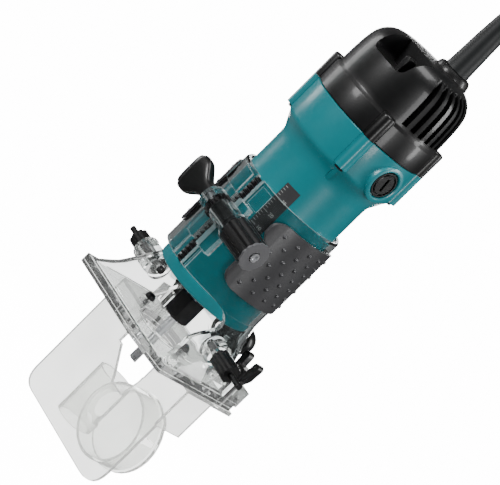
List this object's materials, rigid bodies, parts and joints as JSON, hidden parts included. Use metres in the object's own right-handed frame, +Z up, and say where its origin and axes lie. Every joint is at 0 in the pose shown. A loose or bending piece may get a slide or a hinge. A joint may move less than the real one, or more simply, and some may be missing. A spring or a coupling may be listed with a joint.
{
  "type": "trim router",
  "caption": "Upright trim router: a round motor body in a clear plastic base, with side grips, clamp and depth knobs, and a clear dust hood under a square sole.",
  "frame": {"origin": "on the spindle's axis, in the plane of the sole's underside", "axes": "+Z up the spindle, towards the cord; -Y towards the front, where the clamp slit and the depth rack are; +X towards the depth knob"},
  "size_m": [0.1717, 0.1464, 0.4278],
  "materials": {
    "clear_plastic": "clear, polished, with slightly frosted ribs",
    "teal_plastic": "fine moulded texture, satin",
    "black_plastic": "fine moulded texture, satin",
    "grey_plastic": "satin",
    "grip_rubber": "soft, matt, with raised dots",
    "cord_rubber": "matt",
    "steel": "turned",
    "dark_steel": "blackened",
    "copper": "varnished winding",
    "brass": "plain",
    "carbon": "dull graphite"
  },
  "bodies": {
    "base": {"base_housing": "clear_plastic", "sole_plate": "clear_plastic", "sole_screw_1": "dark_steel", "sole_screw_2": "dark_steel", "sole_screw_3": "dark_steel", "sole_screw_4": "dark_steel", "rubber_grip_right": "grip_rubber", "rubber_grip_left": "grip_rubber", "clamp_bolt": "steel", "dust_hood": "clear_plastic", "dust_chamber": "clear_plastic"},
    "motor": {"motor_housing": "teal_plastic", "scale_plate": "black_plastic", "depth_rack": "black_plastic", "rear_cover": "black_plastic", "cover_screw_1": "dark_steel", "cover_screw_2": "dark_steel", "cover_screw_3": "dark_steel", "cover_screw_4": "dark_steel", "field_stator": "copper", "front_bearing": "steel", "rear_bearing": "steel", "switch_body": "black_plastic", "cord_clamp": "black_plastic", "cord_boot": "cord_rubber", "cord_tail": "cord_rubber", "power_cord": "cord_rubber", "cord_hank": "cord_rubber", "cord_tie": "black_plastic", "plug": "cord_rubber", "plug_pin_right": "brass", "plug_pin_left": "brass", "brush_cap_right": "black_plastic", "brush_cap_left": "black_plastic", "brush_holder_right": "brass", "brush_holder_left": "brass", "carbon_brush_right": "carbon", "carbon_brush_left": "carbon", "brush_spring_right": "steel", "brush_spring_left": "steel"},
    "rotor": {"spindle_shaft": "steel", "collet_cone": "steel", "collet_nut": "dark_steel", "router_bit": "steel", "armature_core": "steel", "commutator": "copper", "cooling_fan": "black_plastic"},
    "switch_lever": {"switch_lever": "black_plastic"},
    "depth_knob": {"adjusting_knob": "black_plastic", "pinion": "black_plastic", "knob_cap": "grey_plastic"},
    "clamp_paddle": {"clamp_paddle": "black_plastic"},
    "guide_screw_right": {"guide_screw_right": "black_plastic"},
    "guide_screw_left": {"guide_screw_left": "black_plastic"},
    "rear_knob": {"rear_knob": "black_plastic"},
    "wing_screw_right": {"wing_screw_right": "black_plastic"},
    "wing_screw_left": {"wing_screw_left": "black_plastic"}
  },
  "joints": [
    {"name": "motor_slide", "type": "slide", "parent": "base", "child": "motor", "axis": [0, 0, 1], "range_m": [-0.011, 0.024]},
    {"name": "depth_knob_turn", "type": "hinge", "parent": "base", "child": "depth_knob", "pos_m": [0.03, -0.044, 0.0875], "axis": [1, 0, 0], "range_deg": [-84.1, 183.4]},
    {"name": "spindle_spin", "type": "hinge", "parent": "motor", "child": "rotor", "pos_m": [0, 0, 0.1], "axis": [0, 0, 1], "continuous": true},
    {"name": "switch_tilt", "type": "hinge", "parent": "motor", "child": "switch_lever", "pos_m": [0.01, -0.025, 0.2087], "axis": [0, 1, 0], "range_deg": [0, 20]},
    {"name": "clamp_turn", "type": "hinge", "parent": "base", "child": "clamp_paddle", "pos_m": [-0.017, -0.044, 0.0875], "axis": [1, 0, 0], "range_deg": [-90, 90]},
    {"name": "guide_right_turn", "type": "hinge", "parent": "base", "child": "guide_screw_right", "pos_m": [0.05, 0, 0.025], "axis": [1, 0, 0], "range_deg": [-180, 180]},
    {"name": "guide_left_turn", "type": "hinge", "parent": "base", "child": "guide_screw_left", "pos_m": [-0.05, 0, 0.025], "axis": [1, 0, 0], "range_deg": [-180, 180]},
    {"name": "rear_knob_turn", "type": "hinge", "parent": "base", "child": "rear_knob", "pos_m": [0, 0.055, 0.025], "axis": [0, 1, 0], "range_deg": [-180, 180]},
    {"name": "wing_right_turn", "type": "hinge", "parent": "base", "child": "wing_screw_right", "pos_m": [0.0395, 0.032, 0.02], "axis": [0, 0, 1], "range_deg": [-180, 180]},
    {"name": "wing_left_turn", "type": "hinge", "parent": "base", "child": "wing_screw_left", "pos_m": [-0.0395, 0.032, 0.02], "axis": [0, 0, 1], "range_deg": [-180, 180]}
  ],
  "couplings": [
    {"joint": "depth_knob_turn", "follows": "motor_slide", "rad_per_m": 133.33}
  ]
}
